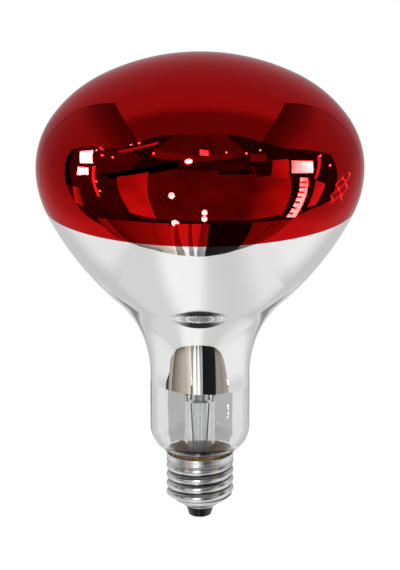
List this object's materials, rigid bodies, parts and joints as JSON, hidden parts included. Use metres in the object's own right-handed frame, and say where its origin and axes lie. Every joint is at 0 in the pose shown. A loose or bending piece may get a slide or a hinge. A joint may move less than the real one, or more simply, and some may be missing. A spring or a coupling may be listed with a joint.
{
  "type": "infrared heat lamp bulb",
  "caption": "Reflector heat lamp with a ruby domed face, a mirrored reflector, a clear glass neck and a screw cap, for giving infrared warmth from a lampholder.",
  "frame": {"origin": "lowest point of the tip solder, on the lamp's axis at the end of the screw cap", "axes": "+Z along the lamp's axis from the cap up to the dome, -Y the front that the picture shows, +X to its right"},
  "size_m": [0.125, 0.125, 0.183],
  "materials": {
    "envelope": "polished hard glass, ruby stained over the dome and silvered over the reflector, clear at the neck",
    "stem_glass": "clear drawn glass",
    "filament_wire": "dull grey coiled tungsten",
    "cap_metal": "bright drawn aluminium with fine drawing lines",
    "insulator": "glossy black moulded glass",
    "contact_metal": "tinned brass",
    "solder": "bright tin solder",
    "cement": "baked brown cement, dull",
    "lead_wire": "oxidised nickel wire",
    "support_wire": "drawn molybdenum wire"
  },
  "bodies": {
    "root": {"glass_bulb": "envelope", "stem_tube": "stem_glass", "exhaust_tube": "stem_glass", "glass_arbor": "stem_glass", "filament": "filament_wire", "screw_shell": "cap_metal", "insulator": "insulator", "centre_contact": "contact_metal", "tip_solder": "solder", "side_solder": "solder", "capping_cement": "cement", "outer_lead_tip": "lead_wire", "outer_lead_side": "lead_wire", "inner_lead_left": "lead_wire", "inner_lead_right": "lead_wire", "support_wire_1": "support_wire", "support_wire_2": "support_wire", "support_wire_3": "support_wire", "support_wire_4": "support_wire", "support_wire_5": "support_wire"}
  },
  "joints": []
}
